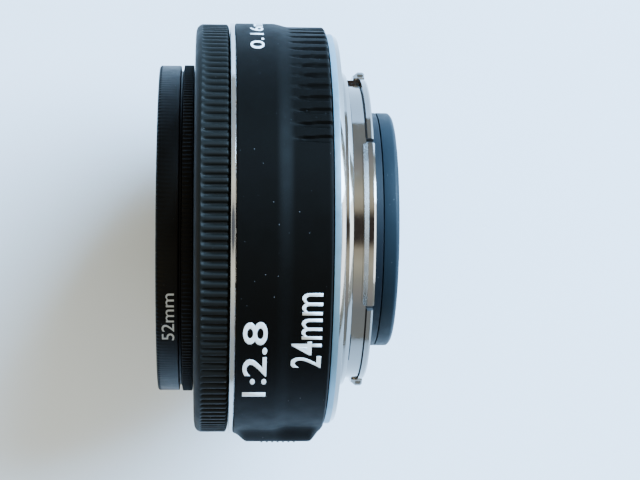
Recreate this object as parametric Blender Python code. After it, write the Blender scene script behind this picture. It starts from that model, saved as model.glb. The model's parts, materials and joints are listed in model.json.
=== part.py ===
"""Slim 24 mm prime lens with a 52 mm screw-in filter, as separate pieces.

Frame: origin on the optical axis in the mount flange face, +Y to the rear of the lens,
+Z the lens's top in use, +X the side that carries the focus mode switch.
Angles are in degrees about the optical axis, from +Z towards +X. Lengths are in millimetres
until they are written into a mesh.
"""

import math

import bmesh
import bpy
from mathutils import Matrix, Vector

MM = 0.001
N_OUT = 48  # facets of the large outer rings
N_IN = 24  # facets of the inner rings
N_GLASS = 24  # facets of a lens element

# Driving sizes
R_FOCUS = 33.9
R_BARREL = 34.1
R_BARREL_REAR = 33.6
R_FLANGE = 32.5
R_STEP = 26.4
R_NECK = 24.9
R_RIM = 25.2
R_RELIEF = 24.5
R_TAB = 26.25
R_THROAT = 23.0
R_BAFFLE = 19.5
R_FILTER = 27.0
Y_FILTER = -28.85
Y_FOCUS_FRONT = -23.0
Y_FOCUS_REAR = -17.5
Y_BARREL_FRONT = -16.55
Y_BARREL_REAR = -1.95
Y_TAB_REAR = 5.07
Y_BAFFLE_REAR = 9.47

# Focus drive
FOCUS_TRAVEL = 5.5
CAM_SWEEP = 90.0
FOLLOWER_Y = -9.5
FOLLOWER_R = 1.1
FOLLOWER_ANGLES = (40.0, 160.0, 280.0)
MODULE = 0.4
Z_CAM = 122
Z_SMALL = 9
Z_LARGE = 15
Z_PINION = 8
R_IDLER = MODULE * (Z_CAM + Z_SMALL) / 2
R_MOTOR = 26.5
A_IDLER = 330.0

# Iris
BLADES = 7
R_PIVOT = 9.6
R_DRIVE = 12.2
BLADE_PITCH = 0.17
BLADE_THICK = 0.1
Y_BLADE = -11.55
IRIS_MODULE = 0.3
Z_IRIS = 88
Z_IRIS_PINION = 8
R_IRIS_PINION = IRIS_MODULE * (Z_IRIS + Z_IRIS_PINION) / 2
A_IRIS_PINION = 200.0

# Places round the optical axis
A_SWITCH = 90.0
A_INDEX = 250.0
A_LOCK = 278.0
A_ENCODER = 205.0
SCREW_ANGLES = (45.0, 135.0, 225.0, 315.0)
R_SCREW = 29.3
TABS = ((-31.0, 27.2), (86.0, 146.0), (-146.0, -85.0))
POCKET = (-75.0, -35.2)

for old in list(bpy.data.objects):
    bpy.data.objects.remove(old, do_unlink=True)


def polar(r, angle, y):
    """Point at radius r and an angle in degrees about the optical axis."""
    a = math.radians(angle)
    return Vector((r * math.sin(a), y, r * math.cos(a)))


def material(name, colour, roughness, metallic=0.0, alpha=1.0):
    mat = bpy.data.materials.new(name)
    mat.use_nodes = True
    shader = mat.node_tree.nodes["Principled BSDF"]
    shader.inputs["Base Color"].default_value = (*colour, 1.0)
    shader.inputs["Roughness"].default_value = roughness
    shader.inputs["Metallic"].default_value = metallic
    shader.inputs["Alpha"].default_value = alpha
    mat.diffuse_color = (*colour, alpha)
    return mat


def add(name, bm, mat=None, smooth=30.0):
    """Turns a bmesh built in millimetres into a named object in metres."""
    bmesh.ops.remove_doubles(bm, verts=bm.verts, dist=1e-5)
    bmesh.ops.recalc_face_normals(bm, faces=bm.faces)
    bmesh.ops.scale(bm, vec=(MM, MM, MM), verts=bm.verts)
    mesh = bpy.data.meshes.new(name)
    bm.to_mesh(mesh)
    bm.free()
    obj = bpy.data.objects.new(name, mesh)
    bpy.context.scene.collection.objects.link(obj)
    if mat:
        mesh.materials.append(mat)
        mesh.shade_smooth()
        mesh.set_sharp_from_angle(angle=math.radians(smooth))
    return obj


def revolve(bm, profile, segments):
    """Spins a profile of (radius, y) points about the optical axis into bm."""
    closed = profile[0][0] > 0 or profile[-1][0] > 0
    verts = [bm.verts.new((0.0, y, r)) for r, y in profile]
    edges = [bm.edges.new(pair) for pair in zip(verts, verts[1:])]
    if closed:
        edges.append(bm.edges.new((verts[-1], verts[0])))
    bmesh.ops.spin(
        bm,
        geom=verts + edges,
        cent=(0, 0, 0),
        axis=(0, 1, 0),
        angle=math.tau,
        steps=segments,
        use_merge=True,
    )


def turned(name, profile, mat, segments=N_IN, smooth=30.0):
    bm = bmesh.new()
    revolve(bm, profile, segments)
    return add(name, bm, mat, smooth)


def skin(bm, loops):
    """Closes a stack of equal loops into one solid, with a cap at each end."""
    rings = [[bm.verts.new(p) for p in loop] for loop in loops]
    count = len(rings[0])
    for low, high in zip(rings, rings[1:]):
        for i in range(count):
            j = (i + 1) % count
            bm.faces.new((low[i], low[j], high[j], high[i]))
    bm.faces.new(rings[0])
    bm.faces.new(reversed(rings[-1]))


def prism(bm, outline, y0, y1, centre=(0.0, 0.0)):
    """Extrudes a flat outline of (x, z) points from y0 to y1."""
    cx, cz = centre
    skin(bm, [[(cx + x, y, cz + z) for x, z in outline] for y in (y0, y1)])


def circle(r, segments=12, phase=0.0):
    """Outline of a round section as (x, z) points."""
    step = 360.0 / segments
    return [(polar(r, phase + step * i, 0).x, polar(r, phase + step * i, 0).z) for i in range(segments)]


def rod(bm, r, y0, y1, centre=(0.0, 0.0), segments=12):
    prism(bm, circle(r, segments), y0, y1, centre)


def stepped_rod(bm, profile, segments=10):
    """Solid of round sections of (radius, y), one after another."""
    skin(bm, [[(x, y, z) for x, z in circle(r, segments)] for r, y in profile])


def at(r, angle):
    """Centre (x, z) at a radius and angle."""
    p = polar(r, angle, 0)
    return (p.x, p.z)


def sector(bm, r0, r1, a0, a1, y0, y1, step=5.0):
    """Part of a flat ring between two angles."""
    count = max(2, round(abs(a1 - a0) / step))
    angles = [a0 + (a1 - a0) * i / count for i in range(count + 1)]
    outline = [at(r1, a) for a in angles] + [at(r0, a) for a in reversed(angles)]
    prism(bm, outline, y0, y1)


def block(bm, angle, r0, r1, half_width, y0, y1):
    """Box standing on the optical axis's radius at an angle."""
    turn = Matrix.Rotation(math.radians(angle), 3, "Y")
    corners = ((-half_width, r0), (half_width, r0), (half_width, r1), (-half_width, r1))
    skin(bm, [[turn @ Vector((x, y, z)) for x, z in corners] for y in (y0, y1)])


def toothed(r_pitch, teeth, module, phase=0.0, first=0, count=None):
    """Outline points of a run of gear teeth, each wide at the root and narrow at the tip."""
    step = 360.0 / teeth
    root = r_pitch - 1.1 * module
    tip = r_pitch + 0.7 * module
    points = []
    for i in range(first, first + (count or teeth)):
        a = phase + step * i
        points.append(at(root, a - 0.27 * step))
        points.append(at(tip, a - 0.1 * step))
        points.append(at(tip, a + 0.1 * step))
        points.append(at(root, a + 0.27 * step))
    return points


def combine(target, operation, *builders):
    """Joins or cuts one or more solids with an exact boolean and keeps the result as plain mesh."""
    for build in builders:
        bm = bmesh.new()
        build(bm)
        tool = add(target.name + "_tool", bm)
        mod = target.modifiers.new("shape", "BOOLEAN")
        mod.operation = operation
        mod.solver = "EXACT"
        mod.object = tool
        bpy.context.view_layer.update()
        depsgraph = bpy.context.evaluated_depsgraph_get()
        baked = bpy.data.meshes.new_from_object(target.evaluated_get(depsgraph))
        target.modifiers.remove(mod)
        target.data = baked
        bpy.data.objects.remove(tool, do_unlink=True)
    target.data.shade_smooth()
    target.data.set_sharp_from_angle(angle=math.radians(30.0))
    return target


def set_origin(obj, point):
    """Moves an object's origin to a point in millimetres without moving its shape."""
    centre = Vector(point) * MM
    obj.data.transform(Matrix.Translation(-centre))
    obj.location = centre
    return obj


# Materials
satin_black = material("satin_black_plastic", (0.022, 0.023, 0.026), 0.42)
ring_black = material("focus_ring_black", (0.018, 0.019, 0.022), 0.5)
filter_black = material("anodised_black", (0.02, 0.02, 0.022), 0.35, 0.6)
pale_ring = material("pale_accent", (0.72, 0.78, 0.8), 0.35)
chrome = material("chromed_brass", (0.8, 0.8, 0.78), 0.18, 1.0)
steel = material("screw_steel", (0.6, 0.6, 0.62), 0.3, 1.0)
baffle = material("baffle_slate", (0.03, 0.036, 0.045), 0.55)
rubber = material("rear_rubber", (0.03, 0.034, 0.042), 0.7)
inner_black = material("inner_matt_black", (0.015, 0.015, 0.016), 0.8)
frame_grey = material("frame_resin", (0.06, 0.06, 0.065), 0.6)
alloy = material("inner_aluminium", (0.55, 0.56, 0.58), 0.4, 1.0)
brass = material("follower_brass", (0.72, 0.55, 0.25), 0.3, 1.0)
gold = material("contact_gold", (0.9, 0.68, 0.3), 0.2, 1.0)
nylon = material("gear_nylon", (0.85, 0.84, 0.8), 0.5)
board_green = material("circuit_board", (0.03, 0.16, 0.09), 0.5)
chip_black = material("chip_resin", (0.02, 0.02, 0.02), 0.5)
glass = material("optical_glass", (0.8, 0.9, 0.92), 0.02, 0.0, 0.3)
white = material("white_mark", (0.85, 0.86, 0.86), 0.5)
film_black = material("blade_film", (0.02, 0.02, 0.021), 0.6, 0.3)

# Outer barrel: sleeve with an S-step, a switch housing and a small rear lip
HOUSING_X = 35.1
HOUSING_HALF = 18.0
outer_barrel = turned(
    "outer_barrel",
    [
        (33.95, Y_BARREL_FRONT),
        (R_BARREL, Y_BARREL_FRONT + 0.15),
        (R_BARREL, -10.5),
        (33.98, -9.8),
        (33.72, -8.6),
        (R_BARREL_REAR, -7.9),
        (R_BARREL_REAR, -2.3),
        (33.2, Y_BARREL_REAR),
        (31.3, Y_BARREL_REAR),
        (31.3, -2.7),
        (32.4, -2.7),
        (32.4, Y_BARREL_FRONT),
    ],
    satin_black,
    N_OUT,
)


def housing_loop(y, top):
    """Section of the switch housing; top runs from 0 (flush) to 1 (full height)."""
    outer = []
    inner = []
    steps = 8
    for i in range(steps + 1):
        a = -HOUSING_HALF + 2 * HOUSING_HALF * i / steps
        flat = min(HOUSING_X / math.cos(math.radians(a)), 35.7 - 0.1 * max(0.0, abs(a) - 9.0) ** 1.2)
        low = 33.45
        rise = max(0.0, flat - low) * max(0.0, 1 - (abs(a) / HOUSING_HALF) ** 6)
        outer.append(polar(low + rise * top, A_SWITCH + a, y))
        inner.insert(0, polar(32.9, A_SWITCH + a, y))
    return outer + inner


def switch_housing(bm):
    stations = ((-16.3, 0.25), (-15.4, 0.75), (-14.3, 1.0), (-4.0, 1.0), (-2.9, 0.75), (-2.15, 0.1))
    skin(bm, [housing_loop(y, top) for y, top in stations])


combine(outer_barrel, "UNION", switch_housing)
combine(
    outer_barrel,
    "DIFFERENCE",
    lambda bm: block(bm, A_SWITCH, 33.75, 37, 2.9, -14.3, -5.2),
    lambda bm: block(bm, A_INDEX, 33.1, 35, 0.95, -5.1, -3.2),
)

accent_ring = turned(
    "accent_ring",
    [(34.12, -17.35), (34.12, -16.7), (32.6, -16.7), (32.6, -17.35)],
    pale_ring,
    N_OUT,
)

# Fixed inner frame: rear plate, support tube, bosses for the flange screws
fixed_frame = turned(
    "fixed_frame",
    [
        (20.5, -3.0),
        (32.1, -3.0),
        (32.1, -4.6),
        (31.2, -4.6),
        (31.2, -22.0),
        (30.0, -22.0),
        (30.0, -4.6),
        (20.5, -4.6),
    ],
    frame_grey,
)


def frame_bosses(bm):
    for a in SCREW_ANGLES:
        rod(bm, 1.8, -4.0, -2.05, at(R_SCREW, a))


def frame_screw_holes(bm):
    for a in SCREW_ANGLES:
        rod(bm, 0.95, -4.3, -1.0, at(R_SCREW, a))


combine(fixed_frame, "UNION", frame_bosses)
combine(
    fixed_frame,
    "DIFFERENCE",
    frame_screw_holes,
    lambda bm: block(bm, A_ENCODER, 29, 33, 2.6, -17.6, -14.4),
)

guide_tube = turned(
    "guide_tube",
    [
        (19.7, -18.0),
        (19.7, -6.3),
        (24.1, -6.3),
        (24.1, -4.9),
        (18.4, -4.9),
        (18.4, -18.0),
    ],
    frame_grey,
)


def guide_slots(bm):
    for a in FOLLOWER_ANGLES:
        block(bm, a, 17, 21, 1.3, -16.5, -8.0)


combine(guide_tube, "DIFFERENCE", guide_slots)

# Cam ring: helical slots and a rear gear rim
cam_ring = turned(
    "cam_ring",
    [(21.9, -17.0), (21.9, -6.6), (20.0, -6.6), (20.0, -17.0)],
    alloy,
)


def cam_rim(bm):
    """Gear rim, toothed only over the part that passes the reduction gear."""
    step = 360 / Z_CAM
    used = math.ceil(CAM_SWEEP / step) + 2
    rim = toothed(MODULE * Z_CAM / 2, Z_CAM, MODULE, A_IDLER, -used, used + 3)
    plain_from = A_IDLER + 3 * step
    plain_span = 360 - (used + 4) * step
    root = MODULE * Z_CAM / 2 - 1.1 * MODULE
    for i in range(N_IN):
        rim.append(at(root, plain_from + plain_span * i / (N_IN - 1)))
    prism(bm, rim, -8.0, -6.9)


def cam_bore(bm):
    revolve(bm, [(20.0, -8.6), (20.0, -6.0), (0.0, -6.0), (0.0, -8.6)], N_IN)


def cam_slots(bm):
    """Three slots that lead the followers forward as the ring turns."""
    radius = 20.95
    run = math.radians(CAM_SWEEP) * radius
    slope = math.atan2(FOCUS_TRAVEL, run)
    half = FOLLOWER_R + 0.15
    over = (FOLLOWER_R + 0.2) / run
    steps = 9
    for start in FOLLOWER_ANGLES:
        loops = []
        for i in range(steps + 1):
            t = -over + (1 + 2 * over) * i / steps
            a = start - CAM_SWEEP * t
            y = FOLLOWER_Y - FOCUS_TRAVEL * t
            side = math.degrees(half * math.sin(slope) / radius)
            rise = half * math.cos(slope)
            low = (a + side, y - rise)
            high = (a - side, y + rise)
            loops.append([polar(19, *low), polar(23, *low), polar(23, *high), polar(19, *high)])
        skin(bm, loops)


combine(cam_ring, "UNION", cam_rim)
combine(cam_ring, "DIFFERENCE", cam_bore, cam_slots)

cam_retainer = turned(
    "cam_retainer",
    [(21.8, -17.9), (21.8, -17.25), (19.85, -17.25), (19.85, -17.9)],
    steel,
)

# Focus gear train
gear_post = turned("gear_post", [(0.0, -9.6), (0.5, -9.6), (0.5, -4.75), (0.0, -4.75)], steel, 12)
IDLER_XZ = at(R_IDLER, A_IDLER)
gear_post.location = Vector((IDLER_XZ[0], 0, IDLER_XZ[1])) * MM

MESH_GAP = MODULE * (Z_LARGE + Z_PINION) / 2
SPREAD = math.degrees(math.acos((R_IDLER**2 + R_MOTOR**2 - MESH_GAP**2) / (2 * R_IDLER * R_MOTOR)))
A_MOTOR = A_IDLER + SPREAD
MOTOR_XZ = at(R_MOTOR, A_MOTOR)
TO_MOTOR = math.degrees(math.atan2(MOTOR_XZ[0] - IDLER_XZ[0], MOTOR_XZ[1] - IDLER_XZ[1]))

bm = bmesh.new()
small_phase = A_IDLER + 180 + 180 / Z_SMALL
prism(bm, toothed(MODULE * Z_SMALL / 2, Z_SMALL, MODULE, small_phase), -8.4, -6.8)
reduction_gear = add("reduction_gear", bm, nylon)
combine(
    reduction_gear,
    "UNION",
    lambda bm: prism(bm, toothed(MODULE * Z_LARGE / 2, Z_LARGE, MODULE, TO_MOTOR), -9.3, -8.3),
)
combine(reduction_gear, "DIFFERENCE", lambda bm: rod(bm, 0.63, -10, -6))
reduction_gear.location = gear_post.location

bm = bmesh.new()
prism(bm, toothed(MODULE * Z_PINION / 2, Z_PINION, MODULE, TO_MOTOR + 180 + 180 / Z_PINION), -9.3, -8.3)
motor_pinion = add("motor_pinion", bm, brass)
motor_pinion.location = Vector((MOTOR_XZ[0], 0, MOTOR_XZ[1])) * MM

focus_motor = turned(
    "focus_motor",
    [(0.0, -16.2), (2.7, -16.2), (2.95, -15.9), (2.95, -9.8), (1.2, -9.8), (1.2, -9.6), (0.0, -9.6)],
    alloy,
    20,
)
focus_motor.location = motor_pinion.location

# Electronics
bm = bmesh.new()
sector(bm, 25.0, 29.6, 60, 250, -5.9, -4.9, 9.5)
main_board = add("main_board", bm, board_green)
bm = bmesh.new()
block(bm, 120, 25.4, 29.0, 2.2, -6.8, -6.05)
controller_chip = add("controller_chip", bm, chip_black)
bm = bmesh.new()
block(bm, A_ENCODER, 29.4, 31.1, 2.2, -17.3, -14.7)
encoder_sensor = add("encoder_sensor", bm, chip_black)

# Mount flange: plate, step ring, neck with a rim behind its relief groove, three bayonet tabs,
# a milled pocket, countersinks and the lock notch
Y_TAB_FRONT = 3.2
Y_RELIEF = (3.9, 4.08)
R_POCKET = 24.1
mount_flange = turned(
    "mount_flange",
    [
        (R_THROAT, -1.8),
        (32.2, -1.8),
        (R_FLANGE, -1.5),
        (R_FLANGE, -0.75),
        (32.05, 0.0),
        (R_STEP, 0.0),
        (R_STEP, 1.1),
        (26.2, 1.45),
        (25.9, 1.6),
        (R_NECK, 1.6),
        (R_NECK, Y_RELIEF[0]),
        (R_RELIEF, Y_RELIEF[0]),
        (R_RELIEF, Y_RELIEF[1]),
        (R_RIM, Y_RELIEF[1]),
        (R_RIM, 4.8),
        (R_RIM - 0.25, Y_TAB_REAR),
        (R_THROAT, Y_TAB_REAR),
    ],
    chrome,
    N_OUT,
)


def bayonet_tabs(bm):
    count = 12
    for a0, a1 in TABS:
        angles = [a0 + (a1 - a0) * i / count for i in range(count + 1)]
        loops = []
        for y, r in (
            (Y_TAB_FRONT, R_TAB - 0.2),
            (Y_TAB_FRONT + 0.15, R_TAB),
            (4.75, R_TAB),
            (Y_TAB_REAR, R_TAB - 0.35),
        ):
            top = [polar(r, a, y) for a in angles]
            root = [polar(R_RELIEF - 0.2, a, y) for a in reversed(angles)]
            loops.append(top + root)
        skin(bm, loops)


def neck_pocket(bm):
    sector(bm, R_POCKET, R_NECK + 0.6, *POCKET, 1.7, 4.0)


def flange_sinks(bm):
    for a in SCREW_ANGLES:
        cx, cz = at(R_SCREW, a)
        loops = []
        for r, y in ((0.95, -2.5), (0.95, -0.85), (1.75, 0.02), (1.75, 0.5)):
            loops.append([(cx + x, y, cz + z) for x, z in circle(r, 10)])
        skin(bm, loops)


combine(mount_flange, "UNION", bayonet_tabs)
combine(
    mount_flange,
    "DIFFERENCE",
    flange_sinks,
    neck_pocket,
    lambda bm: block(bm, A_LOCK, 27.6, 31.0, 1.1, -1.3, 0.5),
)

bm = bmesh.new()
stepped_rod(bm, ((0.75, -3.9), (0.75, -0.95), (1.5, -0.1), (1.5, -0.05)))
screw = add("mount_screw_1", bm, steel)
combine(
    screw,
    "DIFFERENCE",
    lambda bm: block(bm, 0, -0.9, 0.9, 0.16, -0.5, 0.3),
    lambda bm: block(bm, 90, -0.9, 0.9, 0.16, -0.5, 0.3),
)
SCREW_TURN = 17.0  # each cross recess stands at its own angle
for index, a in enumerate(SCREW_ANGLES, start=1):
    copy = screw if index == 1 else bpy.data.objects.new(f"mount_screw_{index}", screw.data)
    copy.location = polar(R_SCREW, a, 0) * MM
    copy.rotation_euler = (0, math.radians(a + SCREW_TURN * index), 0)
    if index > 1:
        bpy.context.scene.collection.objects.link(copy)

# Rear cover: plug inside the mount's throat, baffle plate and rear tube
rear_cover = turned(
    "rear_cover",
    [
        (21.5, -2.5),
        (22.7, -2.5),
        (22.7, 4.7),
        (22.4, 5.0),
        (R_BAFFLE, 5.0),
        (R_BAFFLE, 6.85),
        (17.6, 6.85),
        (17.6, 5.0),
        (13.6, 5.0),
        (13.6, 3.9),
        (21.5, 3.9),
    ],
    baffle,
)
COVER_SCREWS = (55.0, 305.0)
R_COVER_SCREW = 15.9
A_CONTACTS = 180.0


def cover_screw_holes(bm):
    for a in COVER_SCREWS:
        rod(bm, 0.6, 3.0, 6.0, at(R_COVER_SCREW, a))


combine(
    rear_cover,
    "DIFFERENCE",
    lambda bm: sector(bm, 19.75, 23.5, A_CONTACTS - 33, A_CONTACTS + 33, 1.2, 6.0, 6.0),
    cover_screw_holes,
)

bm = bmesh.new()
stepped_rod(bm, ((0.45, 2.9), (0.45, 5.1), (1.0, 5.1), (1.0, 5.45), (0.8, 5.6)))
cover_screw = add("rear_cover_screw_1", bm, steel)
combine(
    cover_screw,
    "DIFFERENCE",
    lambda bm: block(bm, 0, -0.6, 0.6, 0.12, 5.35, 6),
    lambda bm: block(bm, 90, -0.6, 0.6, 0.12, 5.35, 6),
)
cover_screw.location = polar(R_COVER_SCREW, COVER_SCREWS[0], 0) * MM
second = bpy.data.objects.new("rear_cover_screw_2", cover_screw.data)
second.location = polar(R_COVER_SCREW, COVER_SCREWS[1], 0) * MM
bpy.context.scene.collection.objects.link(second)

rear_ring = turned(
    "rear_edge_ring",
    [
        (17.2, 7.0),
        (R_BAFFLE, 7.0),
        (R_BAFFLE, 8.8),
        (19.3, 9.25),
        (18.8, Y_BAFFLE_REAR),
        (17.4, Y_BAFFLE_REAR),
        (16.6, 8.9),
        (16.6, 7.3),
    ],
    rubber,
)

# Electrical contacts at the bottom of the mount
bm = bmesh.new()
sector(bm, 20.1, 22.5, A_CONTACTS - 31, A_CONTACTS + 31, 1.5, 4.9, 6.2)
contact_block = add("contact_block", bm, inner_black)
combine(
    contact_block,
    "DIFFERENCE",
    lambda bm: sector(bm, 20.8, 21.8, A_CONTACTS - 28, A_CONTACTS + 28, 4.3, 5.5, 5.6),
)

PADS = 8
PADS_SPAN = 51.0
PAD_R = (20.95, 21.65)
PAD_FOOT = 4.42
bm = bmesh.new()
loops = []
for i in range(PADS):
    mid = A_CONTACTS - PADS_SPAN / 2 + PADS_SPAN * i / (PADS - 1)
    for a, top in ((mid - 2.3, 4.55), (mid - 2.25, 5.0), (mid + 2.25, 5.0), (mid + 2.3, 4.55)):
        corners = ((PAD_R[0], PAD_FOOT), (PAD_R[1], PAD_FOOT), (PAD_R[1], top), (PAD_R[0], top))
        loops.append([polar(r, a, y) for r, y in corners])
skin(bm, loops)
contact_pins = add("contact_pins", bm, gold)

bm = bmesh.new()
block(bm, A_INDEX, 33.2, 33.62, 0.8, -4.95, -3.35)
index_mark = add("index_mark", bm, white)

ring_washer = turned(
    "ring_washer",
    [(31.1, -22.3), (31.1, -22.1), (30.1, -22.1), (30.1, -22.3)],
    nylon,
)

# Focus ring: ribbed sleeve with a rounded front lip
RIBS = 48
RIB_DEPTH = 0.5
bm = bmesh.new()
ring_profile = [
    (28.7, Y_FOCUS_FRONT),
    (31.9, Y_FOCUS_FRONT),
    (33.0, -22.87),
    (33.6, -22.5),
    (R_FOCUS, -21.9),
    (R_FOCUS, -18.0),
    (33.5, -17.65),
    (33.0, Y_FOCUS_REAR),
    (31.5, Y_FOCUS_REAR),
    (31.5, -22.4),
    (28.7, -22.4),
]
revolve(bm, ring_profile, RIBS * 2)
for vert in bm.verts:
    radius = math.hypot(vert.co.x, vert.co.z)
    turn = math.degrees(math.atan2(vert.co.x, vert.co.z))
    if abs(radius - R_FOCUS) < 0.01 and round(turn * RIBS / 180) % 2:
        vert.co.x *= (R_FOCUS - RIB_DEPTH) / R_FOCUS
        vert.co.z *= (R_FOCUS - RIB_DEPTH) / R_FOCUS
focus_ring = add("focus_ring", bm, ring_black)

COMB = 24
comb = []
for i in range(COMB):
    for r, part in ((32.1, 0.1), (32.1, 0.45), (31.8, 0.55), (31.8, 1.0)):
        comb.append(at(r, (i + part) * 360 / COMB))
bm = bmesh.new()
prism(bm, comb, -17.35, -14.6)
encoder_ring = add("encoder_ring", bm, steel)
combine(encoder_ring, "DIFFERENCE", lambda bm: prism(bm, circle(31.5, N_OUT), -18, -14))

# Moving front barrel with the 52 mm thread bore, and the inner lens barrel
front_barrel = turned(
    "front_barrel",
    [
        (28.3, -22.7),
        (28.3, -16.5),
        (27.3, -16.5),
        (27.3, -19.2),
        (18.3, -19.2),
        (18.3, -20.0),
        (25.9, -20.0),
        (25.9, -22.9),
        (28.1, -22.9),
    ],
    satin_black,
    N_OUT,
)
name_ring = turned(
    "name_ring",
    [
        (25.6, -21.5),
        (25.6, -20.15),
        (10.7, -20.15),
        (10.7, -20.75),
        (13.0, -20.75),
        (22.0, -21.3),
    ],
    inner_black,
)
lens_barrel = turned(
    "lens_barrel",
    [
        (18.0, -19.0),
        (18.0, -4.0),
        (16.9, -4.0),
        (16.9, -13.2),
        (9.6, -13.2),
        (9.6, -14.2),
        (16.9, -14.2),
        (16.9, -19.0),
    ],
    inner_black,
)
for index, a in enumerate(FOLLOWER_ANGLES, start=1):
    bm = bmesh.new()
    loops = []
    for level, r in ((18.15, 0.8), (18.6, 0.8), (18.6, FOLLOWER_R), (21.5, FOLLOWER_R), (21.7, 0.9)):
        loops.append([(x, z, level) for x, z in circle(r, 10)])
    skin(bm, loops)
    follower = add(f"cam_follower_{index}", bm, brass)
    follower.location = (0, FOLLOWER_Y * MM, 0)
    follower.rotation_euler = (0, math.radians(a), 0)

# Front cell with the first two elements
front_cell = turned(
    "front_cell",
    [
        (10.3, -20.45),
        (10.3, -15.2),
        (13.5, -15.2),
        (13.5, -14.35),
        (6.0, -14.35),
        (6.0, -14.75),
        (6.75, -14.75),
        (6.75, -16.95),
        (8.75, -16.95),
        (8.75, -20.45),
    ],
    inner_black,
)
front_retaining_ring = turned(
    "front_retaining_ring",
    [(8.6, -20.3), (8.6, -19.2), (8.0, -19.2), (7.9, -20.3)],
    inner_black,
    N_GLASS,
)


def sag(r, curve):
    """Depth of a spherical surface at radius r; a negative radius curves the other way."""
    return math.copysign(abs(curve) - math.sqrt(curve**2 - r**2), curve)


def element(name, r, y_front, c_front, y_rear, c_rear, mat=glass):
    """Lens element: front and rear vertex on the axis, each with its radius of curvature."""
    steps = 3
    front = [(r * i / steps, y_front + sag(r * i / steps, c_front)) for i in range(steps + 1)]
    rear = [(r * i / steps, y_rear + sag(r * i / steps, c_rear)) for i in range(steps, -1, -1)]
    return turned(name, front + rear, mat, N_GLASS, 50.0)


element("front_element", 8.55, -20.6, 20.0, -18.9, 24.0)
element("second_element", 6.6, -17.0, 14.0, -14.95, -60.0)

# Iris unit
iris_housing = turned(
    "iris_housing",
    [(16.7, -13.0), (16.7, -9.95), (16.15, -9.95), (16.15, -12.5), (5.2, -12.5), (5.2, -13.0)],
    inner_black,
)
BLADE_ANGLES = [360 * i / BLADES for i in range(BLADES)]


def pivot_posts(bm):
    for a in BLADE_ANGLES:
        rod(bm, 0.4, -12.8, -10.1, at(R_PIVOT, a), 8)


combine(iris_housing, "UNION", pivot_posts)
iris_cover = turned(
    "iris_cover",
    [(16.7, -9.8), (16.7, -9.4), (5.4, -9.4), (5.4, -9.8)],
    inner_black,
)
combine(iris_cover, "DIFFERENCE", lambda bm: rod(bm, 0.75, -11, -9, at(R_IRIS_PINION, A_IRIS_PINION)))

bm = bmesh.new()
run = 7
ring_step = 360 / Z_IRIS
outline = toothed(IRIS_MODULE * Z_IRIS / 2, Z_IRIS, IRIS_MODULE, A_IRIS_PINION, -run, 2 * run + 1)
clear = ring_step * (run + 1)
arc_steps = 40
for i in range(arc_steps + 1):
    outline.append(at(12.87, A_IRIS_PINION + clear + (360 - 2 * clear) * i / arc_steps))
prism(bm, outline, -12.35, -11.85)
aperture_ring = add("aperture_ring", bm, steel)


def drive_slots(bm):
    for a in BLADE_ANGLES:
        block(bm, a, 11.5, 12.65, 0.5, -13, -11)


combine(aperture_ring, "DIFFERENCE", lambda bm: rod(bm, 11.1, -13, -11, (0, 0), N_IN), drive_slots)

for index, a in enumerate(BLADE_ANGLES, start=1):
    level = Y_BLADE + BLADE_PITCH * (index - 1)
    steps = 7
    outline = []
    for i in range(steps + 1):
        outline.append(at(8.4 - 1.2 * (i / steps) ** 3, a + 8 + 97 * i / steps))
    for i in range(steps + 1):
        outline.append(at(4.6 + 0.5 * (1 - i / steps) ** 3, a + 105 - 113 * i / steps))
    outline.append(at(8.2, a - 9))
    for r, side in ((9.6, -1.1), (12.4, -0.7), (12.9, 0.0), (12.4, 0.7), (9.6, 1.1)):
        outline.append(at(math.hypot(r, side), a + math.degrees(math.atan2(side, r))))
    bm = bmesh.new()
    prism(bm, outline, level, level + BLADE_THICK)
    blade = add(f"aperture_blade_{index}", bm, film_black)
    pin_level = level + BLADE_THICK / 2
    combine(blade, "UNION", lambda bm: rod(bm, 0.35, -12.3, pin_level, at(R_DRIVE, a), 6))
    combine(blade, "DIFFERENCE", lambda bm: rod(bm, 0.56, level - 0.1, level + 0.3, at(R_PIVOT, a), 8))
    set_origin(blade, polar(R_PIVOT, a, level))

bm = bmesh.new()
pinion_phase = A_IRIS_PINION + 180 + 180 / Z_IRIS_PINION
pinion_teeth = toothed(IRIS_MODULE * Z_IRIS_PINION / 2, Z_IRIS_PINION, IRIS_MODULE, pinion_phase)
prism(bm, pinion_teeth, -12.35, -11.75)
aperture_pinion = add("aperture_pinion", bm, brass)
combine(aperture_pinion, "UNION", lambda bm: rod(bm, 0.4, -12.0, -9.4, (0, 0), 8))
aperture_pinion.location = polar(R_IRIS_PINION, A_IRIS_PINION, 0) * MM

aperture_motor = turned(
    "aperture_motor",
    [(0.0, -9.2), (1.9, -9.2), (2.1, -9.0), (2.1, -5.3), (0.0, -5.3)],
    alloy,
    16,
)
aperture_motor.location = aperture_pinion.location

# Rear cell with the cemented pair and the last two elements
rear_cell = turned(
    "rear_cell",
    [
        (8.0, -9.1),
        (8.0, -4.95),
        (16.6, -4.95),
        (16.6, -4.15),
        (12.9, -4.15),
        (12.9, 3.05),
        (10.6, 3.05),
        (10.6, -0.8),
        (8.2, -0.8),
        (8.2, -3.6),
        (5.8, -3.6),
        (5.8, -3.9),
        (6.35, -3.9),
        (6.35, -9.1),
    ],
    inner_black,
)
element("third_element", 6.15, -8.2, -30.0, -7.0, 13.0)
element("fourth_element", 6.15, -6.85, 13.0, -4.0, -40.0)
element("fifth_element", 7.95, -2.75, -40.0, -1.25, -15.0)
element("rear_element", 10.35, -0.2, 120.0, 2.3, -60.0)
rear_retaining_ring = turned(
    "rear_retaining_ring",
    [(10.4, 2.5), (10.4, 3.0), (9.5, 3.0), (9.6, 2.5)],
    inner_black,
    N_GLASS,
)

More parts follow.
